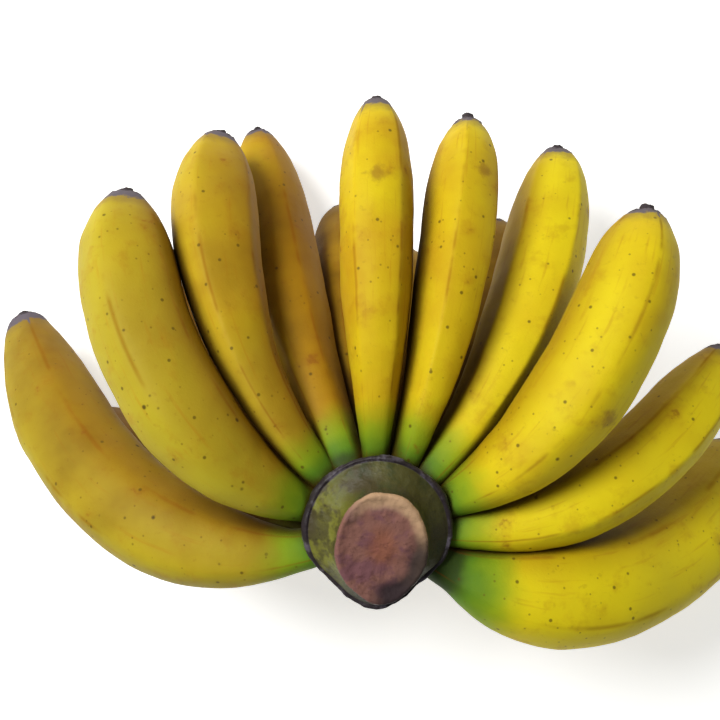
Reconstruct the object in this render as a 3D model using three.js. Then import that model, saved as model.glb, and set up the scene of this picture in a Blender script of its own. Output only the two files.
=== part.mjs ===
// A hand of bananas: one cut stalk with its crown, and two rows of fingers grown out of it.
// Millimetres, +Z up. The hand lies on the tips of its lower row, cut end of the stalk facing up.

import * as THREE from 'three';

// ---- driving dimensions ----

// The hand is modelled round its stalk: +Z runs along the stalk to the cut end, and the fingers fan
// out round it with azimuth 0 along +X and 90 along +Y.
const STALK_TILT = 8; // the stalk leans this many degrees from +Z towards -Y
const RIM_RADIUS = 30; // dried lip round the crown
const FACE_RADIUS = 19.5; // cut end of the stalk
const FACE_HEIGHT = 15; // cut end above the lip
const TAIL_RADIUS = 17; // far cut end, under the hand
const TAIL_HEIGHT = -44;
const STALK_SIDES = 30;

// Outline of the stalk from its lower cut to its upper one: [radius, height above the lip].
const STALK_OUTLINE = [
  [0, TAIL_HEIGHT],
  [TAIL_RADIUS - 2, TAIL_HEIGHT],
  [TAIL_RADIUS, TAIL_HEIGHT + 2],
  [TAIL_RADIUS + 3, TAIL_HEIGHT + 10],
  [21.5, -22],
  [25.5, -14],
  [26.3, -6],
  [RIM_RADIUS, -2.5],
  [RIM_RADIUS, 0],
  [RIM_RADIUS - 4, 4],
  [FACE_RADIUS + 2, FACE_HEIGHT - 5],
  [FACE_RADIUS, FACE_HEIGHT - 1.5],
  [FACE_RADIUS - 1.5, FACE_HEIGHT],
  [0, FACE_HEIGHT],
];

// Fingers bend towards the light as they grow. In the bunch the light came from beyond the tips and
// from the side that is now the underside, a little lower for the lower row.
const FRONT_LIGHT = new THREE.Vector3(0, 0.85, -0.52).normalize();
const BACK_LIGHT = new THREE.Vector3(0, 0.72, -0.69).normalize();
const SIDES = 15; // points round a finger, three to each of its five ridges
const RIDGE = 0.045; // how far the ridges stand out, share of the radius
const SIDE_SHARE = 0.93; // finger width across, share of its girth
const DEPTH_SHARE = 1.08; // finger depth from back to belly, share of its girth
const NECK = { width: 9.6, depth: 13 }; // where the finger joins the crown
const ROOT_SHARE = 0.7; // rounded foot of the neck, share of the neck
const TIP_SHARE = 0.38; // blunt flower end, share of the girth
const TIP_DOME = 1.5; // how far the blunt end is domed
const TAPER_FROM = 0.64; // share of the length where the finger starts to narrow
const TAPER_POWER = 3.8; // the higher it is, the later the finger narrows and the blunter its tip
const SWELL_POWER = 1.25; // above 1, the neck stays slim for longer
const BEND_EARLY = 1.6; // bending at the neck, as a multiple of the mean along the finger
// Shares of the length where the finger has a ring of points, and steps of the bend between two.
const STATIONS = [0, 0.03, 0.1, 0.19, 0.29, 0.4, 0.52, 0.64, 0.74, 0.83, 0.9, 0.95, 0.985, 1];
const BEND_STEPS = 8;

const FRONT_ROOT = { radius: 28.6, height: -10 };
const BACK_ROOT = { radius: 26.6, height: -28 };

// azimuth: where it leaves the crown. sweep: its first heading, turned from that azimuth.
// rise: first heading above the plane of the hand. curl: how far it bends on its way to the tip.
// swell: share of its length where it reaches its full girth.
// early and taper: its own values, where they differ from BEND_EARLY and TAPER_POWER.
const FRONT_ROW = [
  { azimuth: 197.5, sweep: -3.5, rise: -1, curl: 79, length: 205, girth: 40, swell: 0.36,
    early: 1.95, taper: 2.2 },
  { azimuth: 161, sweep: 3, rise: 30, curl: 90, length: 167, girth: 39.5, swell: 0.44 },
  { azimuth: 135, sweep: 0, rise: 12, curl: 63.5, length: 169, girth: 37, swell: 0.86 },
  { azimuth: 114, sweep: 1, rise: -27, curl: 13, length: 180, girth: 31, swell: 0.7 },
  { azimuth: 91, sweep: -1.5, rise: 16, curl: 40, length: 152, girth: 33, swell: 0.58 },
  { azimuth: 68, sweep: 2, rise: 8, curl: 34, length: 151, girth: 31, swell: 0.6 },
  { azimuth: 45.5, sweep: 0, rise: -8, curl: 39, length: 170, girth: 34.5, swell: 0.64 },
  { azimuth: 22, sweep: -1, rise: 29, curl: 72, length: 153, girth: 38.5, swell: 0.5 },
  { azimuth: -1, sweep: -3, rise: 6, curl: 65, length: 156, girth: 32, swell: 0.5, taper: 2.6 },
  { azimuth: -28, sweep: -4, rise: -1, curl: 86, length: 192, girth: 47, swell: 0.32 },
];

const BACK_ROW = [
  { azimuth: 186, sweep: 0, rise: -21, curl: 48, length: 156, girth: 32, swell: 0.5 },
  { azimuth: 156, sweep: -1, rise: -19, curl: 46, length: 152, girth: 31, swell: 0.55 },
  { azimuth: 131, sweep: 0, rise: -27, curl: 29, length: 154, girth: 30, swell: 0.6 },
  { azimuth: 102, sweep: 0, rise: -27, curl: 20, length: 148, girth: 28, swell: 0.6 },
  { azimuth: 77, sweep: 1, rise: -27, curl: 16, length: 114, girth: 28, swell: 0.6 },
  { azimuth: 54, sweep: 0, rise: -24, curl: 26, length: 148, girth: 28, swell: 0.6 },
  { azimuth: 29, sweep: 0, rise: -23, curl: 34, length: 138, girth: 30, swell: 0.55 },
  { azimuth: -7, sweep: 0, rise: -20, curl: 44, length: 154, girth: 32, swell: 0.5 },
];

// The hand is laid down by these turns about X and Y, then lifted to stand on z = 0.
const LAY = { x: -1, y: 1.2 };

const RAD = Math.PI / 180;
const Z_AXIS = new THREE.Vector3(0, 0, 1);

// ---- materials ----

function peelMaterial() {
  return new THREE.MeshStandardMaterial({ color: 0xe0c626, roughness: 0.5, metalness: 0 });
}

function stalkMaterial() {
  return new THREE.MeshStandardMaterial({ color: 0x6b6a2c, roughness: 0.75, metalness: 0 });
}

// ---- stalk and crown ----

function stalkGeometry() {
  const points = STALK_OUTLINE.map(([radius, height]) => new THREE.Vector2(radius, height));
  const geometry = new THREE.LatheGeometry(points, STALK_SIDES);
  geometry.rotateX(Math.PI / 2);
  return geometry;
}

// ---- fingers ----

function headingOf(azimuth, rise) {
  const flat = Math.cos(rise * RAD);
  const x = flat * Math.cos(azimuth * RAD);
  const y = flat * Math.sin(azimuth * RAD);
  return new THREE.Vector3(x, y, Math.sin(rise * RAD));
}

// Share of the whole bend reached at a share of the length: most of it is near the crown.
function bendAt(t, { early = BEND_EARLY }) {
  return early * t + (1 - early) * t * t;
}

// Girth along the finger, as a share of its fullest.
function swellAt(t, finger) {
  const grown = Math.min(t / finger.swell, 1);
  const neckShare = (NECK.width + NECK.depth) / 2 / finger.girth;
  const body = neckShare + (1 - neckShare) * Math.sin(grown * Math.PI / 2) ** SWELL_POWER;
  const past = Math.max(0, (t - TAPER_FROM) / (1 - TAPER_FROM));
  return body * (1 - (1 - TIP_SHARE) * past ** (finger.taper ?? TAPER_POWER));
}

// Rounded five-sided section, with a flat back and a ridge down the belly (angle 0).
function sectionAt(angle) {
  return 1 + RIDGE * Math.cos(5 * angle);
}

function fingerGeometry(finger, root, light) {
  const out = headingOf(finger.azimuth, 0);
  const start = headingOf(finger.azimuth + finger.sweep, finger.rise);
  const side = new THREE.Vector3().crossVectors(start, light).normalize();
  const points = [];
  const centre = out.clone().multiplyScalar(root.radius).addScaledVector(Z_AXIS, root.height);
  const foot = new THREE.Vector3();
  const tip = new THREE.Vector3();
  let from = 0;
  for (const t of STATIONS) {
    for (let step = 0; step < BEND_STEPS; step += 1) {
      const middle = from + (t - from) * (step + 0.5) / BEND_STEPS;
      const heading = start.clone().applyAxisAngle(side, finger.curl * RAD * bendAt(middle, finger));
      centre.addScaledVector(heading, finger.length * (t - from) / BEND_STEPS);
    }
    from = t;
    const tangent = start.clone().applyAxisAngle(side, finger.curl * RAD * bendAt(t, finger));
    const belly = new THREE.Vector3().crossVectors(side, tangent);
    const neck = Math.max(0, 1 - t / finger.swell);
    const rounding = t === 0 ? ROOT_SHARE : 1;
    const girth = rounding * swellAt(t, finger) * finger.girth;
    const neckGirth = (NECK.width + NECK.depth) / 2;
    const across = girth * THREE.MathUtils.lerp(SIDE_SHARE, NECK.width / neckGirth, neck) / 2;
    const deep = girth * THREE.MathUtils.lerp(DEPTH_SHARE, NECK.depth / neckGirth, neck) / 2;
    for (let i = 0; i < SIDES; i += 1) {
      const angle = 2 * Math.PI * i / SIDES;
      const share = sectionAt(angle);
      const point = centre.clone();
      point.addScaledVector(belly, deep * share * Math.cos(angle));
      point.addScaledVector(side, across * share * Math.sin(angle));
      points.push(point);
    }
    if (t === 0) foot.copy(centre);
    if (t === 1) tip.copy(centre).addScaledVector(tangent, TIP_DOME);
  }
  return closedTube(points, foot, tip);
}

// Rings of points joined into one closed skin, with a fan to the foot and another to the tip.
function closedTube(points, foot, tip) {
  const footIndex = points.length;
  const tipIndex = footIndex + 1;
  const last = points.length - SIDES;
  const index = [];
  for (let i = 0; i < SIDES; i += 1) {
    const next = (i + 1) % SIDES;
    index.push(footIndex, next, i);
    index.push(tipIndex, last + i, last + next);
    for (let ring = 0; ring < last; ring += SIDES) {
      const a = ring + i;
      const b = ring + next;
      index.push(a, b, a + SIDES, b, b + SIDES, a + SIDES);
    }
  }
  const geometry = new THREE.BufferGeometry();
  geometry.setFromPoints([...points, foot, tip]);
  geometry.setIndex(index);
  geometry.computeVertexNormals();
  return geometry;
}

// ---- assembly ----

const hand = new THREE.Group();
const laid = new THREE.Group();
hand.add(laid);

const stalk = new THREE.Mesh(stalkGeometry(), stalkMaterial());
stalk.name = 'crown_stalk';
stalk.rotation.x = STALK_TILT * RAD;
laid.add(stalk);

const rows = [
  { name: 'front_finger', fingers: FRONT_ROW, root: FRONT_ROOT, light: FRONT_LIGHT },
  { name: 'back_finger', fingers: BACK_ROW, root: BACK_ROOT, light: BACK_LIGHT },
];
for (const row of rows) {
  row.fingers.forEach((finger, i) => {
    const mesh = new THREE.Mesh(fingerGeometry(finger, row.root, row.light), peelMaterial());
    mesh.name = `${row.name}_${String(i + 1).padStart(2, '0')}`;
    laid.add(mesh);
  });
}

laid.rotation.set(LAY.x * RAD, LAY.y * RAD, 0);
const reach = new THREE.Box3().setFromObject(laid, true);
const middle = reach.getCenter(new THREE.Vector3());
laid.position.set(-middle.x, -middle.y, -reach.min.z);

export default hand;
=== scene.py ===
# A hand of plump dessert bananas: ten fingers over eight, grown round one short cut stalk.

import math

import bmesh
import bpy
from mathutils import Matrix, Vector


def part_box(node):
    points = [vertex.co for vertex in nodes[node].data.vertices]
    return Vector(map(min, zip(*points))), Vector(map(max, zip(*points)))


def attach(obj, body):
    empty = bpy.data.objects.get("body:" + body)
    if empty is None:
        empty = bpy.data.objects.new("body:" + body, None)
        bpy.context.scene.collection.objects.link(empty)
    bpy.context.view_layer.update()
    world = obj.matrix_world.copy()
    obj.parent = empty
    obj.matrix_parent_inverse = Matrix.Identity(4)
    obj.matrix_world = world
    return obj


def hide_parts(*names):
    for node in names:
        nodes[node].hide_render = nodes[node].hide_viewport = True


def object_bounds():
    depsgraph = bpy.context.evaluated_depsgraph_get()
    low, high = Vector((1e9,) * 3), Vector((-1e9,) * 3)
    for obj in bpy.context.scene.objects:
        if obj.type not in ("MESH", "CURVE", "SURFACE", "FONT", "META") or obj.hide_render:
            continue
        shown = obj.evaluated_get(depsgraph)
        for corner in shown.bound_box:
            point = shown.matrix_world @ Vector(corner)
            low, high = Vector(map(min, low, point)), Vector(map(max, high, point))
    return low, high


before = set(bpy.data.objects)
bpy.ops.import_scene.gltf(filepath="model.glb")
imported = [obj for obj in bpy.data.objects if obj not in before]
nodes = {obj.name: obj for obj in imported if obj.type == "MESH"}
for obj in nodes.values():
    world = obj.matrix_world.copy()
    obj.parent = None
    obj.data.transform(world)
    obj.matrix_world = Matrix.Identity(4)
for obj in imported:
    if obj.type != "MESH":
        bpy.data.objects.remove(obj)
cad_low, cad_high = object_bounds()


# ---- Camera ----
# The hand lies on a table and is looked at from straight above, with the stalk nearest to the
# viewer. The camera hangs over the middle of the fan, square to the plane that the hand grew in.

CAMERA_FROM_STALK = (0.0026, 0.0757)  # across and along, from the middle of the stalk
CAMERA_OVER_CUT = 0.4316  # above the highest edge of the cut
CAMERA_SENSOR = 36.0  # millimetres
CAMERA_LENS = 56.25
HAND_LEAN = (-1.0, 1.2)  # degrees about X and Y, as the hand lies on its tips

stalk_low, stalk_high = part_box("crown_stalk")
stalk_middle = (stalk_low + stalk_high) / 2
camera = bpy.data.objects.new("camera", bpy.data.cameras.new("camera"))
camera.data.sensor_width = CAMERA_SENSOR
camera.data.lens = CAMERA_LENS
lean_x = Matrix.Rotation(math.radians(HAND_LEAN[0]), 4, "X")
lean_y = Matrix.Rotation(math.radians(HAND_LEAN[1]), 4, "Y")
camera.matrix_world = Matrix.Translation((
    stalk_middle.x + CAMERA_FROM_STALK[0],
    stalk_middle.y + CAMERA_FROM_STALK[1],
    stalk_high.z + CAMERA_OVER_CUT,
)) @ lean_x @ lean_y
bpy.context.scene.collection.objects.link(camera)
bpy.context.scene.camera = camera
bpy.context.scene.view_settings.view_transform = "Standard"


# ---- Table top and studio light ----
# A white laminate table under a large soft window light from the upper left, in a pale room. The
# table is bright enough to leave only a faint shadow under the fruit.

TABLE_SIZE = 40.0
TABLE_WHITE = "#f4f4f2"
TABLE_GLOW = 0.66
ROOM_WHITE = "#f2f4f8"
ROOM_LIGHT = 0.20
WALL_LIGHT = 0.75  # the pale walls show behind the table's far edge
WALL_HEIGHT = (0.02, 0.16)  # where they fade into the dimmer ceiling, as upward parts of the view
WINDOW_SIZE = 0.55
WINDOW_POWER = 14.5
WINDOW_FROM = Vector((-0.55, 0.42, 0.94))  # from the middle of the hand


def linear(hex_colour):
    """A finish's sRGB hex value as the linear colour that a socket takes."""
    values = [int(hex_colour[i:i + 2], 16) / 255 for i in (1, 3, 5)]
    return [v / 12.92 if v <= 0.04045 else ((v + 0.055) / 1.055) ** 2.4 for v in values] + [1.0]


def add_node(tree, kind, inputs=None, **settings):
    """Adds a node. Each input takes a value, or the socket that is linked to it."""
    node = tree.nodes.new(kind)
    for name, value in settings.items():
        setattr(node, name, value)
    for name, value in (inputs or {}).items():
        if isinstance(value, bpy.types.NodeSocket):
            tree.links.new(value, node.inputs[name])
        else:
            node.inputs[name].default_value = value
    return node


def new_material(name):
    """An empty material and its node tree."""
    material = bpy.data.materials.new(name)
    material.use_nodes = True
    material.node_tree.nodes.clear()
    return material, material.node_tree


def white_laminate():
    # Matt white laminate, evenly lit: it shows as clean white with a soft shadow.
    material, tree = new_material("white laminate")
    surface = add_node(tree, "ShaderNodeBsdfPrincipled", {
        "Base Color": linear(TABLE_WHITE),
        "Roughness": 0.85,
        "Emission Color": linear(TABLE_WHITE),
        "Emission Strength": TABLE_GLOW,
    })
    add_node(tree, "ShaderNodeOutputMaterial", {"Surface": surface.outputs["BSDF"]})
    return material


half = TABLE_SIZE / 2
table_mesh = bpy.data.meshes.new("table_top")
table_mesh.from_pydata([(-half, -half, 0), (half, -half, 0), (half, half, 0), (-half, half, 0)], [],
                       [(0, 1, 2, 3)])
table_mesh.materials.append(white_laminate())
table_top = bpy.data.objects.new("table_top", table_mesh)
bpy.context.scene.collection.objects.link(table_top)

room = bpy.data.worlds.new("pale room")
room.use_nodes = True
room.node_tree.nodes.clear()
direction = add_node(room.node_tree, "ShaderNodeTexCoord").outputs["Generated"]
upward = add_node(room.node_tree, "ShaderNodeSeparateXYZ", {0: direction}).outputs["Z"]
wall = add_node(room.node_tree, "ShaderNodeMapRange", {
    "Value": upward, "From Min": WALL_HEIGHT[0], "From Max": WALL_HEIGHT[1],
    "To Min": WALL_LIGHT, "To Max": ROOM_LIGHT,
})
room_light = add_node(room.node_tree, "ShaderNodeBackground", {
    "Color": linear(ROOM_WHITE),
    "Strength": wall.outputs[0],
})
add_node(room.node_tree, "ShaderNodeOutputWorld", {"Surface": room_light.outputs[0]})
bpy.context.scene.world = room

hand_middle = (cad_low + cad_high) / 2
window = bpy.data.objects.new("window", bpy.data.lights.new("window", "AREA"))
window.data.shape = "DISK"
window.data.size = WINDOW_SIZE
window.data.energy = WINDOW_POWER
window.location = hand_middle + WINDOW_FROM
window.rotation_euler = (-WINDOW_FROM).to_track_quat("-Z", "Y").to_euler()
bpy.context.scene.collection.objects.link(window)


# ---- Fingers ----
# Each finger is one fruit, as it grew: a green neck joined to the crown, a five-ridged peel with a
# flat back, and a blunt end with the dried stub of the flower. The front row has ten, the row under
# it has eight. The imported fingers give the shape, and the dry stub is added past their ends.

RIDGES = 5
RIDGE_POINTS = 3  # points round a packed finger for each of its ridges
SIDES = RIDGES * RIDGE_POINTS
MERGE = 1e-5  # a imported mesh's loose triangles share corners within this
NECK_INSIDE = ((-0.0085, 0.86), (-0.0045, 0.98))  # (along the neck, share of its first ring)
SHRINK = 1.03  # smoothing pulls a ring of 15 points in by about this much
# The dried flower stub past the blunt end: (along the finger, share of the end), then its top.
STUB = ((0.0007, 0.90), (0.0012, 0.62), (0.0018, 0.46), (0.0034, 0.40), (0.0045, 0.45),
        (0.0050, 0.34))
STUB_TOP = 0.0047
RIDGES_BEGIN = 0.02  # the neck is round as far as this
WRINKLES = (0.004, -0.0005)  # from the tip, where wrinkles begin and where they are full
NOISE_SWING = 3.0  # brings a noise's usual swing to about the whole of its depth
NECK_FLESH = (0.16, 0.050)  # necks stand this share fuller at the crown, fading out by this length

# How golden and how olive each finger is, from bright yellow at 0 to full at 1.
FRONT_GOLD = (0.54, 0.46, 0.74, 0.90, 0.60, 0.54, 0.26, 0.34, 0.14, 0.06)
FRONT_OLIVE = (0.95, 1.05, 0.60, 0.25, 0.05, 0.12, 0.12, 0.08, 0.10, 0.24)
FRONT_CAP = (0.0060, 0.0062, 0.0056, 0.0030, 0.0046, 0.0020, 0.0042, 0.0026, 0.0034, 0.0050)
# How much further than the rest its neck is green.
FRONT_GREEN = (-0.003, -0.002, 0.0, 0.0, 0.0, 0.0, 0.0, 0.002, 0.0, 0.008)
# How much it is browned, partly by bruising and partly as painted shade where a neighbour shades it,
# and how black its right ridge has dried below the tip.
FRONT_BRUISE_AND_SHADE = (0.33, 0.10, 0.20, 0.30, 0.0, 0.0, 0.0, 0.0, 0.0, 0.0)
FRONT_BLACKENED = (0.0, 0.0, 0.0, 0.0, 0.0, 0.0, 0.9, 0.0, 0.25, 0.0)
# How sharp its ridges are, and how far from its tip it has one scar on its back, if any.
FRONT_RIDGES = (0.14, 0.12, 0.34, 0.32, 0.38, 0.42, 0.45, 0.14, 0.42, 0.14)
NO_SCAR = 9.0  # further from the tip than any finger reaches
FRONT_SCAR = (0.060, NO_SCAR, NO_SCAR, NO_SCAR, 0.041, 0.029, 0.033, 0.083, NO_SCAR, 0.070)
BACK_GOLD = 1.0
BACK_OLIVE = 0.15
BACK_CAP = 0.0020
BACK_RIDGES = 0.30
BACK_BRUISE_AND_SHADE = 0.62  # the row beneath is browned, partly bruised where it is pressed and partly painted shade for the front row's shadow


def packed_rings(node, sides):
    """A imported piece's rings of points in order, from the end nearest to the crown or the cut."""
    mesh = bmesh.new()
    mesh.from_mesh(node.data)
    bmesh.ops.remove_doubles(mesh, verts=mesh.verts, dist=MERGE)
    mesh.verts.index_update()
    poles = sorted(mesh.verts, key=lambda v: -len(v.link_edges))[:2]
    first, last = sorted(poles, key=lambda v: (v.co - stalk_middle).length)
    ends = first.co.copy(), last.co.copy()
    seen = {first}
    level = [first]
    rings = []
    while level:
        level = {e.other_vert(v) for v in level for e in v.link_edges} - seen
        level = sorted(level, key=lambda v: v.index)
        seen.update(level)
        if len(level) == sides:
            rings.append([v.co.copy() for v in level])
    mesh.free()
    return rings, ends


def ordered_finger(node):
    """Rings that all start on the belly ridge and turn the same way, and their axes."""
    rings, ends = packed_rings(node, SIDES)
    centres = [sum(ring, Vector()) / SIDES for ring in rings]
    headings = []
    for i in range(len(rings)):
        before = centres[max(i - 1, 0)]
        after = centres[min(i + 1, len(rings) - 1)]
        headings.append((after - before).normalized())
    side = headings[0].cross(headings[-1]).normalized()
    ordered = []
    for ring, centre, heading in zip(rings, centres, headings):
        belly = side.cross(heading)

        def turn(point):
            return math.atan2((point - centre).dot(side), (point - centre).dot(belly))

        start = min(ring, key=lambda p: abs(turn(p)))
        ordered.append(sorted(ring, key=lambda p: (turn(p) - turn(start) + 1e-6) % math.tau))
    return ordered, centres, headings, side, ends


def finger_cage(name, node, finish, sharpness):
    """The coarse cage of a finger, with the measures that its peel is coloured by."""
    rings, centres, headings, side, ends = ordered_finger(node)
    neck_heading = (centres[1] - centres[0]).normalized()
    tip_heading = (ends[1] - centres[-1]).normalized()
    rows = []
    measures = []
    neck = [point - centres[0] for point in rings[1]]
    neck = [offset - neck_heading * offset.dot(neck_heading) for offset in neck]
    for along, share in NECK_INSIDE:
        centre = centres[0] + neck_heading * along
        rows.append([centre + offset * share for offset in neck])
        measures.append(along)
    travelled = 0.0
    for i, (ring, centre) in enumerate(zip(rings, centres)):
        if i > 0:
            travelled += (centre - centres[i - 1]).length
        swell = SHRINK * (1 + NECK_FLESH[0] * max(0, 1 - travelled / NECK_FLESH[1]))
        if i == 0:
            ring = [centre + offset for offset in neck]
        rows.append([centre + (point - centre) * swell for point in ring])
        measures.append(travelled)
    length = travelled
    belly = side.cross(tip_heading)
    end_radius = sum((point - centres[-1]).length for point in rings[-1]) / SIDES
    for along, share in STUB:
        centre = centres[-1] + tip_heading * along
        radius = end_radius * share
        row = []
        for i in range(SIDES):
            angle = math.tau * i / SIDES
            row.append(centre + (belly * math.cos(angle) + side * math.sin(angle)) * radius)
        rows.append(row)
        measures.append(length + along)

    points = [point for row in rows for point in row]
    points.append(centres[0] + neck_heading * NECK_INSIDE[0][0])
    points.append(centres[-1] + tip_heading * STUB_TOP)
    from_neck = [m for m in measures for _ in range(SIDES)] + [measures[0], length + STUB_TOP]
    faces = []
    for row in range(len(rows) - 1):
        for i in range(SIDES):
            a = row * SIDES + i
            b = row * SIDES + (i + 1) % SIDES
            faces.append((a, b, b + SIDES, a + SIDES))
    last = (len(rows) - 1) * SIDES
    for i in range(SIDES):
        j = (i + 1) % SIDES
        faces.append((j, i, len(points) - 2))
        faces.append((last + i, last + j, len(points) - 1))

    mesh = bpy.data.meshes.new(name)
    mesh.from_pydata(points, [], faces)
    turns = [math.tau * i / SIDES for i in range(SIDES)]
    ridge = [math.cos(RIDGES * angle) for angle in turns] * len(rows) + [0, 0]
    back = [-math.cos(angle) for angle in turns] * len(rows) + [0, 0]
    across = [math.sin(angle) for angle in turns] * len(rows) + [0, 0]
    for label, values in (
        ("from_neck", from_neck),
        ("from_tip", [length - m for m in from_neck]),
        ("ridge", ridge),
        ("back", back),
        ("across", across),
        *((measure, [value] * len(points)) for measure, value in finish.items()),
    ):
        mesh.attributes.new(label, "FLOAT", "POINT").data.foreach_set("value", values)
    creases = []
    for edge in mesh.edges:
        a, b = edge.vertices
        lengthwise = abs(a - b) == SIDES and max(a, b) < len(points) - 2
        grown_out = from_neck[a] > RIDGES_BEGIN and from_neck[b] < length
        creases.append(sharpness if lengthwise and a % RIDGE_POINTS == 0 and grown_out else 0.0)
    mesh.attributes.new("ridge_edge", "FLOAT", "EDGE").data.foreach_set("value", creases)
    return mesh


def new_tree(name, values):
    """A Geometry Nodes tree with a geometry in and out, and its named inputs."""
    tree = bpy.data.node_groups.new(name, "GeometryNodeTree")
    tree.interface.new_socket("Geometry", in_out="OUTPUT", socket_type="NodeSocketGeometry")
    tree.interface.new_socket("Geometry", in_out="INPUT", socket_type="NodeSocketGeometry")
    for label, (kind, value) in values.items():
        socket = tree.interface.new_socket(label, in_out="INPUT", socket_type="NodeSocket" + kind)
        if value is not None:
            socket.default_value = value
    return tree, add_node(tree, "NodeGroupInput").outputs


def peel_tree():
    """Rounds a finger's cage into its grown shape: ridges, shallow dents and a wrinkled dry end."""
    tree, given = new_tree("grown peel", {
        "Level": ("Int", 3),
        "Ridge Sharpness": ("Float", 1.0),
        "Dent Depth": ("Float", 0.0006),
        "Dent Size": ("Float", 0.022),
        "Wrinkle Depth": ("Float", 0.0006),
        "Wrinkle Size": ("Float", 0.0022),
        "Peel": ("Material", None),
    })
    edge = add_node(tree, "GeometryNodeInputNamedAttribute", {"Name": "ridge_edge"},
                    data_type="FLOAT")
    crease = add_node(tree, "ShaderNodeMath", {0: edge.outputs[0], 1: given["Ridge Sharpness"]},
                      operation="MULTIPLY")
    round_skin = add_node(tree, "GeometryNodeSubdivisionSurface", {
        "Mesh": given["Geometry"],
        "Level": given["Level"],
        "Edge Crease": crease.outputs[0],
    })
    place = add_node(tree, "GeometryNodeInputPosition")
    normal = add_node(tree, "GeometryNodeInputNormal")
    tip = add_node(tree, "GeometryNodeInputNamedAttribute", {"Name": "from_tip"},
                   data_type="FLOAT")
    dry = add_node(tree, "ShaderNodeMapRange", {
        "Value": tip.outputs[0], "From Min": WRINKLES[0], "From Max": WRINKLES[1],
    })
    heights = []
    for size, depth in (("Dent Size", "Dent Depth"), ("Wrinkle Size", "Wrinkle Depth")):
        scale = add_node(tree, "ShaderNodeMath", {0: 1.0, 1: given[size]}, operation="DIVIDE")
        noise = add_node(tree, "ShaderNodeTexNoise", {
            "Vector": place.outputs[0], "Scale": scale.outputs[0], "Detail": 2.0,
        })
        centred = add_node(tree, "ShaderNodeMath", {0: noise.outputs[0], 1: 0.5},
                           operation="SUBTRACT")
        height = add_node(tree, "ShaderNodeMath", {0: centred.outputs[0], 1: given[depth]},
                          operation="MULTIPLY")
        heights.append(add_node(tree, "ShaderNodeMath", {0: height.outputs[0], 1: NOISE_SWING},
                                operation="MULTIPLY"))
    wrinkles = add_node(tree, "ShaderNodeMath", {0: heights[1].outputs[0], 1: dry.outputs[0]},
                        operation="MULTIPLY")
    height = add_node(tree, "ShaderNodeMath", {0: heights[0].outputs[0], 1: wrinkles.outputs[0]})
    offset = add_node(tree, "ShaderNodeVectorMath", {0: normal.outputs[0],
                                                     "Scale": height.outputs[0]},
                      operation="SCALE")
    dented = add_node(tree, "GeometryNodeSetPosition", {
        "Geometry": round_skin.outputs[0], "Offset": offset.outputs[0],
    })
    smooth = add_node(tree, "GeometryNodeSetShadeSmooth", {"Geometry": dented.outputs[0]})
    whole = add_node(tree, "GeometryNodeRealizeInstances", {"Geometry": smooth.outputs[0]})
    skinned = add_node(tree, "GeometryNodeSetMaterial", {
        "Geometry": whole.outputs[0], "Material": given["Peel"],
    })
    add_node(tree, "NodeGroupOutput", {"Geometry": skinned.outputs[0]})
    return tree


def grown(name, cage, tree, values):
    """The piece that a tree makes of its cage, as a plain mesh at the origin."""
    piece = bpy.data.objects.new(name, cage)
    bpy.context.scene.collection.objects.link(piece)
    modifier = piece.modifiers.new(tree.name, "NODES")
    modifier.node_group = tree
    for item in tree.interface.items_tree:
        if item.in_out == "INPUT" and item.name in values:
            modifier[item.identifier] = values[item.name]
    evaluated = piece.evaluated_get(bpy.context.evaluated_depsgraph_get())
    mesh = bpy.data.meshes.new_from_object(evaluated)
    piece.modifiers.clear()
    piece.data = mesh
    mesh.name = name
    return piece


def work_out(tree, values, steps):
    """Adds a pattern's steps, in order, to its named values. A fade rises smoothly to its top."""
    for label, work, value, *rest in steps:
        if work == "FADE":
            low, high, top = rest
            step = add_node(tree, "ShaderNodeMapRange", {
                "Value": values[value], "From Min": low, "From Max": high, "To Max": top,
            }, interpolation_type="SMOOTHSTEP")
        else:
            step = add_node(tree, "ShaderNodeMath", {
                0: values[value], 1: values.get(rest[0], rest[0]),
            }, operation=work)
        values[label] = step.outputs[0]


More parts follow.
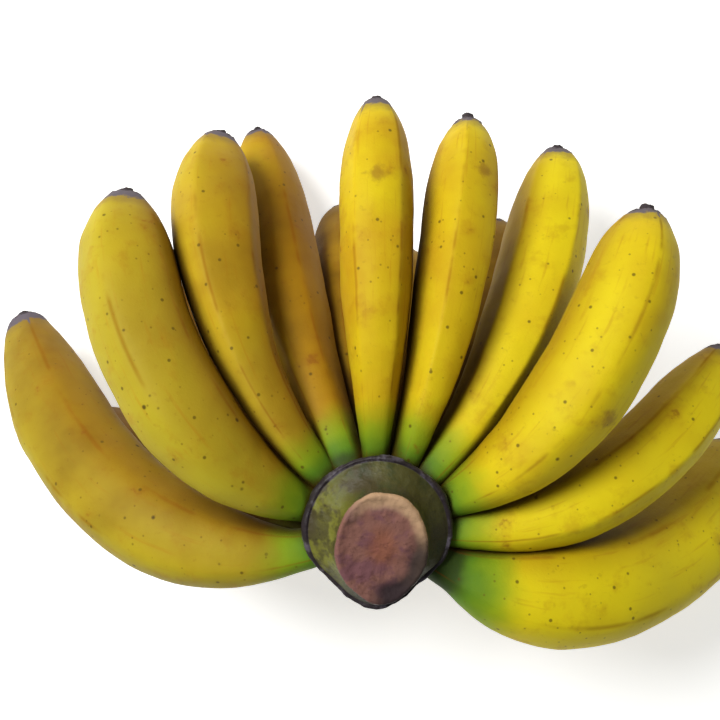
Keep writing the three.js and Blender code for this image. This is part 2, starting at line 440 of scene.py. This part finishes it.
def banana_peel():
    # Ripe banana peel: a waxy living skin, satin and a little uneven, bright yellow turning golden
    # where it ripens first, green at the neck, with brown freckles and a grey dry end. Painted shade
    # darkens its crevices, its right facet and its belly, and partly browns the fingers that lie in
    # shade.
    material, tree = new_material("ripe banana peel")
    place = add_node(tree, "ShaderNodeTexCoord").outputs["Object"]
    values = {}
    for label in ("from_neck", "from_tip", "ridge", "back", "across", "gold", "olive", "cap",
                  "browned", "scar", "green", "blackened"):
        values[label] = add_node(tree, "ShaderNodeAttribute", attribute_name=label).outputs["Fac"]
    for label, size, detail, roughness in (
        ("patches", 0.030, 3.0, 0.55),
        ("drift", 0.065, 2.0, 0.5),
        ("mottle", 0.011, 4.0, 0.6),
        ("scurf", 0.0035, 3.0, 0.65),
        ("grain", 0.0011, 2.0, 0.5),
    ):
        values[label] = add_node(tree, "ShaderNodeTexNoise", {
            "Vector": place, "Scale": 1 / size, "Detail": detail, "Roughness": roughness,
        }).outputs[0]

    # Long faint streaks: the noise is stretched along the finger.
    lengthwise = add_node(tree, "ShaderNodeCombineXYZ", {
        0: values["from_neck"], 1: values["across"], 2: values["back"],
    })
    stretched = add_node(tree, "ShaderNodeVectorMath", {
        0: lengthwise.outputs[0], 1: (22.0, 5.0, 5.0),
    }, operation="MULTIPLY")
    finger_own = add_node(tree, "ShaderNodeVectorMath", {0: stretched.outputs[0], 1: place})
    values["streaks"] = add_node(tree, "ShaderNodeTexNoise", {
        "Vector": finger_own.outputs[0], "Scale": 1.6, "Detail": 3.0, "Roughness": 0.6,
    }).outputs[0]

    # Freckles of three sizes, in metres: how far apart, how large in their cell, and past what
    # share of the cells. Each cell's own random colour chooses whether it has one.
    freckle_steps = []
    for label, size, reach, share in (
        ("small freckles", 0.0070, 0.14, 0.32),
        ("specks", 0.0042, 0.15, 0.50),
        ("large freckles", 0.017, 0.080, 0.50),
    ):
        cells = add_node(tree, "ShaderNodeTexVoronoi", {
            "Vector": place, "Scale": 1 / size, "Randomness": 1.0,
        })
        chance = add_node(tree, "ShaderNodeSeparateColor", {0: cells.outputs["Color"]})
        values[label + " distance"] = cells.outputs["Distance"]
        values[label + " chance"] = chance.outputs[0]
        freckle_steps += [
            (label + " spot", "FADE", label + " distance", reach, reach * 0.45, 1.0),
            (label + " chosen", "FADE", label + " chance", share, share + 0.02, 1.0),
            (label, "MULTIPLY", label + " spot", label + " chosen"),
        ]

    # Painted shade: the peel darkens to brown-black where fingers are pressed together and little
    # light reaches.
    values["openness"] = add_node(tree, "ShaderNodeAmbientOcclusion", {"Distance": 0.036},
                                  samples=8).outputs["AO"]

    work_out(tree, values, (
        # Where it has turned golden or stayed olive, in broad uneven patches.
        ("uneven", "SUBTRACT", "patches", 0.5),
        ("uneven gold", "MULTIPLY", "uneven", 1.1),
        ("goldness", "ADD", "gold", "uneven gold"),
        ("drifting", "SUBTRACT", "drift", 0.5),
        ("uneven olive", "MULTIPLY", "drifting", 1.4),
        ("oliveness", "ADD", "olive", "uneven olive"),
        ("golden", "FADE", "goldness", 0.0, 1.05, 0.95),
        ("olive patches", "FADE", "oliveness", 0.10, 1.10, 0.75),
        # The green of the neck, with a wavy edge.
        ("past green", "SUBTRACT", "from_neck", "green"),
        ("neck waves", "MULTIPLY", "uneven", 0.020),
        ("along neck", "ADD", "past green", "neck waves"),
        ("lime neck", "FADE", "along neck", 0.027, 0.010, 0.88),
        ("green neck", "FADE", "along neck", 0.013, 0.003, 0.80),
        ("dark neck", "FADE", "along neck", 0.0050, -0.002, 0.85),
        # The ridges, where the skin is rubbed, and the dry cap, which runs a little way down them.
        ("on ridge", "FADE", "ridge", 0.72, 1.0, 1.0),
        ("rub patches", "FADE", "patches", 0.46, 0.60, 1.0),
        ("rubbed", "MULTIPLY", "on ridge", "rub patches"),
        ("rubbed brown", "MULTIPLY", "rubbed", 0.42),
        ("rough edge", "SUBTRACT", "scurf", 0.5),
        ("tip waves", "MULTIPLY", "rough edge", 0.006),
        ("along tip", "ADD", "from_tip", "tip waves"),
        ("run length", "FADE", "drift", 0.42, 0.62, 0.005),
        ("run down", "MULTIPLY", "on ridge", "run length"),
        ("above cap", "SUBTRACT", "along tip", "cap"),
        ("past cap", "SUBTRACT", "above cap", "run down"),
        ("drying", "FADE", "past cap", 0.0070, 0.0010, 0.55),
        ("dry", "FADE", "past cap", 0.0008, -0.0010, 1.0),
        ("dry cap", "FADE", "past cap", 0.0008, -0.0010, 0.94),
        ("stub", "FADE", "along tip", 0.0010, -0.0006, 0.85),
        ("broad ridge", "FADE", "ridge", 0.50, 0.90, 1.0),
        ("right half", "FADE", "across", -0.30, -0.55, 1.0),
        ("right ridge", "MULTIPLY", "broad ridge", "right half"),
        ("near tip", "FADE", "from_tip", 0.040, 0.022, 1.0),
        ("dried ridge", "MULTIPLY", "right ridge", "near tip"),
        ("black ridge", "MULTIPLY", "dried ridge", "blackened"),
        # Streaks, mottling and scurf.
        ("gold streaks", "FADE", "streaks", 0.56, 0.74, 0.35),
        ("mottling", "FADE", "mottle", 0.52, 0.74, 0.32),
        ("brown scurf", "FADE", "scurf", 0.60, 0.76, 0.25),
        # Painted shade: the right facet, turned away from the window, and the belly, turned to the
        # table, are darkened brown. Each finger's browning is partly bruising and partly painted
        # shade, in patches, and small bruises come in patches.
        ("right facet", "FADE", "across", -0.30, -0.95, 1.0),
        ("painted facet shade", "MULTIPLY", "right facet", 0.32),
        ("painted belly shade", "FADE", "back", 0.30, -0.50, 0.58),
        ("bruise patches", "MULTIPLY", "uneven", 0.9),
        # each finger's browning, partly real bruising and partly painted shade on fingers lying in
        # shadow
        ("bruise and shade amount", "ADD", "browned", "bruise patches"),
        ("bruised", "FADE", "bruise and shade amount", 0.15, 1.0, 0.90),
        ("small bruises", "FADE", "mottle", 0.66, 0.74, 1.0),
        ("bruised areas", "FADE", "patches", 0.46, 0.56, 1.0),
        ("bruise", "MULTIPLY", "small bruises", "bruised areas"),
        ("bruise brown", "MULTIPLY", "bruise", 0.50),
        # One ragged scar on the back.
        ("past scar", "SUBTRACT", "from_tip", "scar"),
        ("off scar", "ABSOLUTE", "past scar", 0.0),
        ("off back", "ABSOLUTE", "across", 0.0),
        ("off middle", "MULTIPLY", "off back", 0.012),
        ("scar distance", "ADD", "off scar", "off middle"),
        ("scar edge", "MULTIPLY", "scurf", 0.008),
        ("ragged distance", "ADD", "scar distance", "scar edge"),
        ("scar shape", "FADE", "ragged distance", 0.0095, 0.0050, 1.0),
        ("scar brown", "MULTIPLY", "scar shape", 0.60),
        *freckle_steps,
        ("small freckle brown", "MULTIPLY", "small freckles", 0.75),
        ("speck brown", "MULTIPLY", "specks", 0.55),
        ("large freckle brown", "MULTIPLY", "large freckles", 0.85),
        # painted shade: brown-black where the ambient occlusion between pressed fingers is low
        ("crevice", "FADE", "openness", 0.66, 0.20, 1.0),
        ("painted crevice shade", "MULTIPLY", "crevice", 0.88),
        # What the roughness and the fine relief follow.
        ("coarse", "MAXIMUM", "dry", "rubbed"),
        ("scurf relief", "MULTIPLY", "scurf", 0.6),
        ("grain relief", "MULTIPLY", "grain", 0.3),
        ("relief", "ADD", "scurf relief", "grain relief"),
    ))
    colour = linear("#e0cb18")
    for layer, finish in (
        ("golden", "#bd8d16"),
        ("olive patches", "#a6982c"),
        ("gold streaks", "#b57a14"),
        ("mottling", "#a66a14"),
        ("brown scurf", "#8a5c14"),
        # painted shade on the right facet and on the belly
        ("painted facet shade", "#8e5e0c"),
        ("painted belly shade", "#8c5c06"),
        # bruised: partly real bruising, partly painted shade on fingers that lie in their
        # neighbours' shadow
        ("bruised", "#5e4004"),
        ("lime neck", "#7c9a1a"),
        ("green neck", "#4c7a1e"),
        ("dark neck", "#2f3c1c"),
        ("rubbed brown", "#86480e"),
        ("scar brown", "#8a5a1e"),
        ("bruise brown", "#854612"),
        ("small freckle brown", "#55420f"),
        ("speck brown", "#664a10"),
        ("large freckle brown", "#3e2c12"),
        ("black ridge", "#2c2018"),
        ("drying", "#83682a"),
        ("dry cap", "#615b66"),
        ("stub", "#3a3334"),
        # painted shade in the crevices between fingers
        ("painted crevice shade", "#3f2406"),
    ):
        colour = add_node(tree, "ShaderNodeMix", {0: values[layer], 6: colour, 7: linear(finish)},
                          data_type="RGBA").outputs[2]

    roughness = add_node(tree, "ShaderNodeMapRange", {
        "Value": values["coarse"], "To Min": 0.55, "To Max": 0.82,
    })
    bump = add_node(tree, "ShaderNodeBump", {
        "Height": values["relief"], "Strength": 0.35, "Distance": 0.0006,
    })
    surface = add_node(tree, "ShaderNodeBsdfPrincipled", {
        "Base Color": colour,
        "Roughness": roughness.outputs[0],
        "Normal": bump.outputs[0],
        "IOR": 1.42,
        "Specular IOR Level": 0.12,
        "Subsurface Weight": 0.08,
        "Subsurface Radius": (0.0020, 0.0012, 0.0003),
        "Subsurface Scale": 1.0,
    })
    add_node(tree, "ShaderNodeOutputMaterial", {"Surface": surface.outputs["BSDF"]})
    return material


peel = banana_peel()
grown_peel = peel_tree()
for name in sorted(nodes):
    if "finger" not in name:
        continue
    number = int(name[-2:]) - 1
    front = name.startswith("front")
    finish = {
        "gold": FRONT_GOLD[number] if front else BACK_GOLD,
        "olive": FRONT_OLIVE[number] if front else BACK_OLIVE,
        "cap": FRONT_CAP[number] if front else BACK_CAP,
        "browned": FRONT_BRUISE_AND_SHADE[number] if front else BACK_BRUISE_AND_SHADE,
        "blackened": FRONT_BLACKENED[number] if front else 0.0,
        "green": FRONT_GREEN[number] if front else 0.0,
        "scar": FRONT_SCAR[number] if front else NO_SCAR,
    }
    ridges = FRONT_RIDGES[number] if front else BACK_RIDGES
    cage = finger_cage("banana_" + name, nodes[name], finish, ridges)
    finger = grown("banana_" + name, cage, grown_peel, {"Peel": peel})
    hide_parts(name)
    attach(finger, "root")


# ---- Crown and cut stalk ----
# The crown is the thick cushion of the bunch's stem that the fingers grow from. It was cut off with
# a knife above and below: the cut dries pinkish brown, the skin round it stays olive, and a thin
# dark lip of dried bract runs round the crown above the necks.

STALK_SIDES = 30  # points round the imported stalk
CROWN_SIDES = 72
# Outline from the middle of the upper cut to the middle of the lower one, in millimetres: radius,
# height above the lip, and what is there.
OUTLINE = (
    (2.0, 13.2, "pith"), (7.0, 13.0, "pith"), (12.0, 13.2, "pith"), (15.4, 13.7, "pith"),
    (17.2, 14.6, "pith"), (18.4, 14.9, "rim"), (19.3, 14.0, "rim"), (19.9, 12.0, "skin"),
    (20.7, 9.0, "skin"), (22.4, 6.3, "skin"), (24.8, 4.4, "skin"), (26.9, 3.2, "skin"),
    (28.0, 2.1, "skin"), (28.7, 2.0, "lip"), (29.3, 2.5, "lip"), (30.2, 1.9, "lip"),
    (30.7, 0.4, "lip"), (30.0, -1.6, "lip"), (28.2, -3.0, "lip"), (26.8, -6.0, "skin"),
    (26.0, -13.0, "skin"), (22.6, -21.0, "skin"), (20.4, -31.0, "skin"), (17.6, -40.5, "skin"),
    (16.6, -43.0, "rim"), (15.0, -43.4, "rim"), (12.5, -42.4, "pith"), (7.0, -41.8, "pith"),
    (2.0, -41.8, "pith"),
)
LIP_HEIGHT = 44.0  # millimetres from the lower cut to the lip
STALK_RADIUS = 20.0  # millimetres
CUT_RISE = (12.0, 0.8)  # the height above the lip where the cut's own outline is reached, its curve
CUT_SHIFT = (1.6, -3.6)  # the upper cut sits off the axis by this much, in millimetres
CUT_SQUEEZE = (0.94, 1.18)  # and is narrower across than along
# Where no finger grows, the crown is pared away: (direction, half width, depth share).
PARED = ((-133.0, 24.0, 0.13), (-47.0, 24.0, 0.17))
PARED_LESS = 0.7  # at the cut, the paring is shallower by this share
RIM_PITH = 0.6  # the rim of a cut is this far from skin to pith


def stalk_axes():
    """The middle of the lip, and the stalk's own across, along and upward directions."""
    poles = packed_rings(nodes["crown_stalk"], STALK_SIDES)[1]
    lower, upper = sorted(poles, key=lambda p: p.z)
    up = (upper - lower).normalized()
    across = Vector((1, 0, 0))
    across = (across - up * across.dot(up)).normalized()
    return lower + up * LIP_HEIGHT / 1000, across, up.cross(across), up


def crown_cage(name):
    """The crown's outline turned round its axis, pared and squeezed, with its measures."""
    middle, across, along, up = stalk_axes()
    points = []
    measures = {"radius": [], "pith": [], "lip": [], "left": [], "ahead": []}
    for radius, height, part in OUTLINE:
        towards_cut = min(max(height / CUT_RISE[0], 0), 1) ** CUT_RISE[1]
        for i in range(CROWN_SIDES):
            angle = math.tau * i / CROWN_SIDES
            degrees = (math.degrees(angle) + 180) % 360 - 180
            kept = 1.0
            for direction, width, depth in PARED:
                kept -= depth * math.exp(-((degrees - direction) / width) ** 2)
            kept = 1 - (1 - kept) * (1 - PARED_LESS * towards_cut)
            x = radius * kept * math.cos(angle)
            y = radius * kept * math.sin(angle)
            x *= 1 + (CUT_SQUEEZE[0] - 1) * towards_cut
            y *= 1 + (CUT_SQUEEZE[1] - 1) * towards_cut
            x += CUT_SHIFT[0] * towards_cut
            y += CUT_SHIFT[1] * towards_cut
            points.append(middle + (across * x + along * y + up * height) / 1000)
            measures["radius"].append(radius / STALK_RADIUS)
            measures["pith"].append({"pith": 1.0, "rim": RIM_PITH}.get(part, 0.0))
            measures["lip"].append(1.0 if part == "lip" else 0.0)
            measures["left"].append(-math.cos(angle))
            measures["ahead"].append(math.sin(angle))
    for ring in (0, len(OUTLINE) - 1):
        of_ring = points[ring * CROWN_SIDES:(ring + 1) * CROWN_SIDES]
        points.append(sum(of_ring, Vector()) / CROWN_SIDES)
        for label in measures:
            measures[label].append(1.0 if label == "pith" else 0.0)
    faces = []
    for row in range(len(OUTLINE) - 1):
        for i in range(CROWN_SIDES):
            a = row * CROWN_SIDES + i
            b = row * CROWN_SIDES + (i + 1) % CROWN_SIDES
            faces.append((b, a, a + CROWN_SIDES, b + CROWN_SIDES))
    last = (len(OUTLINE) - 1) * CROWN_SIDES
    for i in range(CROWN_SIDES):
        j = (i + 1) % CROWN_SIDES
        faces.append((i, j, len(points) - 2))
        faces.append((last + j, last + i, len(points) - 1))
    mesh = bpy.data.meshes.new(name)
    mesh.from_pydata(points, [], faces)
    for label, values in measures.items():
        mesh.attributes.new(label, "FLOAT", "POINT").data.foreach_set("value", values)
    return mesh


def crown_tree():
    """Roughens the crown: lumpy skin, a torn lip, and coarse fibre ends left by the knife."""
    tree, given = new_tree("dried crown", {
        "Level": ("Int", 2),
        "Lump Depth": ("Float", 0.0009),
        "Lump Size": ("Float", 0.013),
        "Tear Depth": ("Float", 0.0002),
        "Tear Size": ("Float", 0.0045),
        "Fibre Depth": ("Float", 0.0003),
        "Fibre Size": ("Float", 0.0040),
        "Stalk": ("Material", None),
    })
    round_skin = add_node(tree, "GeometryNodeSubdivisionSurface", {
        "Mesh": given["Geometry"], "Level": given["Level"],
    })
    place = add_node(tree, "GeometryNodeInputPosition")
    normal = add_node(tree, "GeometryNodeInputNormal")
    total = None
    for size, depth, part in (("Lump Size", "Lump Depth", None), ("Tear Size", "Tear Depth", "lip"),
                              ("Fibre Size", "Fibre Depth", "pith")):
        scale = add_node(tree, "ShaderNodeMath", {0: 1.0, 1: given[size]}, operation="DIVIDE")
        noise = add_node(tree, "ShaderNodeTexNoise", {
            "Vector": place.outputs[0], "Scale": scale.outputs[0], "Detail": 3.0,
        })
        height = add_node(tree, "ShaderNodeMapRange", {
            "Value": noise.outputs[0], "From Min": 0.25, "From Max": 0.75, "To Min": -1.0,
        })
        height = add_node(tree, "ShaderNodeMath", {0: height.outputs[0], 1: given[depth]},
                          operation="MULTIPLY")
        if part:
            where = add_node(tree, "GeometryNodeInputNamedAttribute", {"Name": part},
                             data_type="FLOAT")
            height = add_node(tree, "ShaderNodeMath", {0: height.outputs[0],
                                                       1: where.outputs[0]},
                              operation="MULTIPLY")
        if total:
            height = add_node(tree, "ShaderNodeMath", {0: total.outputs[0],
                                                       1: height.outputs[0]})
        total = height
    offset = add_node(tree, "ShaderNodeVectorMath", {0: normal.outputs[0],
                                                     "Scale": total.outputs[0]},
                      operation="SCALE")
    rough = add_node(tree, "GeometryNodeSetPosition", {
        "Geometry": round_skin.outputs[0], "Offset": offset.outputs[0],
    })
    smooth = add_node(tree, "GeometryNodeSetShadeSmooth", {"Geometry": rough.outputs[0]})
    whole = add_node(tree, "GeometryNodeRealizeInstances", {"Geometry": smooth.outputs[0]})
    skinned = add_node(tree, "GeometryNodeSetMaterial", {
        "Geometry": whole.outputs[0], "Material": given["Stalk"],
    })
    add_node(tree, "NodeGroupOutput", {"Geometry": skinned.outputs[0]})
    return tree


def dried_stalk():
    # Banana stem a few days after cutting: leathery olive skin, a brittle purple-black lip with a
    # grey bloom, and corky pith that has dried from cream to pinkish brown, all of it dull. Painted
    # light and shade: the skin is paler on the left and darker on the right, a painted grey
    # highlight lies on its front, and a painted shadow blackens the cut's near right edge.
    material, tree = new_material("dried banana stalk")
    place = add_node(tree, "ShaderNodeTexCoord").outputs["Object"]
    values = {}
    for label in ("radius", "pith", "lip", "left", "ahead"):
        values[label] = add_node(tree, "ShaderNodeAttribute", attribute_name=label).outputs["Fac"]
    for label, size, detail in (("broad", 0.020, 2.0), ("cloud", 0.009, 3.0), ("fleck", 0.0032, 3.0),
                                ("grain", 0.0012, 2.0)):
        values[label] = add_node(tree, "ShaderNodeTexNoise", {
            "Vector": place, "Scale": 1 / size, "Detail": detail, "Roughness": 0.6,
        }).outputs[0]

    work_out(tree, values, (
        # Which part it is, with wavy borders.
        ("uneven", "SUBTRACT", "cloud", 0.5),
        ("wavy", "MULTIPLY", "uneven", 0.35),
        ("wavy pith", "ADD", "pith", "wavy"),
        ("cut", "FADE", "wavy pith", 0.30, 0.50, 1.0),
        ("wavy lip", "ADD", "lip", "wavy"),
        ("on lip", "FADE", "wavy lip", 0.35, 0.70, 1.0),
        ("from middle", "ADD", "radius", "wavy"),
        ("ahead right", "SUBTRACT", "ahead", "left"),
        ("ahead left", "ADD", "ahead", "left"),
        ("near right", "MULTIPLY", "ahead left", -1.0),
        # The skin: olive in patches, greener and paler on the left as painted light, darker on the
        # right as painted shade, and grey in front as a painted highlight.
        ("olive skin", "FADE", "broad", 0.44, 0.62, 0.60),
        ("green skin", "FADE", "cloud", 0.50, 0.68, 0.65),
        ("left side", "FADE", "left", 0.3, 1.0, 0.6),
        ("painted light patches", "FADE", "cloud", 0.44, 0.58, 1.0),
        ("painted light left", "MULTIPLY", "left side", "painted light patches"),
        ("painted shade right", "FADE", "left", 0.2, -0.9, 0.55),
        ("skin flecks", "FADE", "fleck", 0.56, 0.70, 0.45),
        ("painted highlight front", "FADE", "ahead", -0.3, -1.0, 0.60),
        ("dark lip", "MULTIPLY", "on lip", 0.95),
        ("bloom patches", "FADE", "cloud", 0.54, 0.66, 0.50),
        ("bloom", "MULTIPLY", "on lip", "bloom patches"),
        # The cut: browner in the middle, tan along its far right rim, and a painted shadow black
        # near its near right.
        ("mauve clouds", "FADE", "cloud", 0.42, 0.60, 0.70),
        ("brown middle", "FADE", "from middle", 0.45, 0.12, 0.55),
        ("cut flecks", "FADE", "fleck", 0.57, 0.68, 0.40),
        ("rim", "FADE", "from middle", 0.62, 0.86, 1.0),
        ("far right", "FADE", "ahead right", -0.6, 0.9, 0.85),
        ("tan rim", "MULTIPLY", "rim", "far right"),
        ("outer cut", "FADE", "from middle", 0.45, 0.78, 1.0),
        ("near right side", "FADE", "near right", 0.35, 1.15, 0.92),
        ("painted shadow edge", "MULTIPLY", "outer cut", "near right side"),
        # The fine relief.
        ("half grain", "MULTIPLY", "grain", 0.5),
        ("relief", "ADD", "fleck", "half grain"),
    ))
    skin = linear("#41391c")
    for layer, finish in (
        ("olive skin", "#5c5a22"),
        ("green skin", "#303a18"),
        # painted light on the left, painted shade on the right, painted highlight in front
        ("painted light left", "#86862c"),
        ("painted shade right", "#23240f"),
        ("skin flecks", "#26240f"),
        ("painted highlight front", "#63625a"),
        ("dark lip", "#251c22"),
        ("bloom", "#6e6672"),
    ):
        skin = add_node(tree, "ShaderNodeMix", {0: values[layer], 6: skin, 7: linear(finish)},
                        data_type="RGBA").outputs[2]
    pith = linear("#80564a")
    for layer, finish in (
        ("mauve clouds", "#68404a"),
        ("brown middle", "#864c2e"),
        ("cut flecks", "#4c2822"),
        ("tan rim", "#bd9a74"),
        # painted shadow on the cut's near right edge
        ("painted shadow edge", "#1c1416"),
    ):
        pith = add_node(tree, "ShaderNodeMix", {0: values[layer], 6: pith, 7: linear(finish)},
                        data_type="RGBA").outputs[2]
    colour = add_node(tree, "ShaderNodeMix", {0: values["cut"], 6: skin, 7: pith},
                      data_type="RGBA")
    roughness = add_node(tree, "ShaderNodeMapRange", {
        "Value": values["cut"], "To Min": 0.55, "To Max": 0.82,
    })
    bump = add_node(tree, "ShaderNodeBump", {
        "Height": values["relief"], "Strength": 0.4, "Distance": 0.0008,
    })
    surface = add_node(tree, "ShaderNodeBsdfPrincipled", {
        "Base Color": colour.outputs[2],
        "Roughness": roughness.outputs[0],
        "Normal": bump.outputs[0],
        "IOR": 1.45,
        "Specular IOR Level": 0.4,
    })
    add_node(tree, "ShaderNodeOutputMaterial", {"Surface": surface.outputs["BSDF"]})
    return material


crown = grown("banana_crown", crown_cage("banana_crown"), crown_tree(), {"Stalk": dried_stalk()})
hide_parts("crown_stalk")
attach(crown, "root")
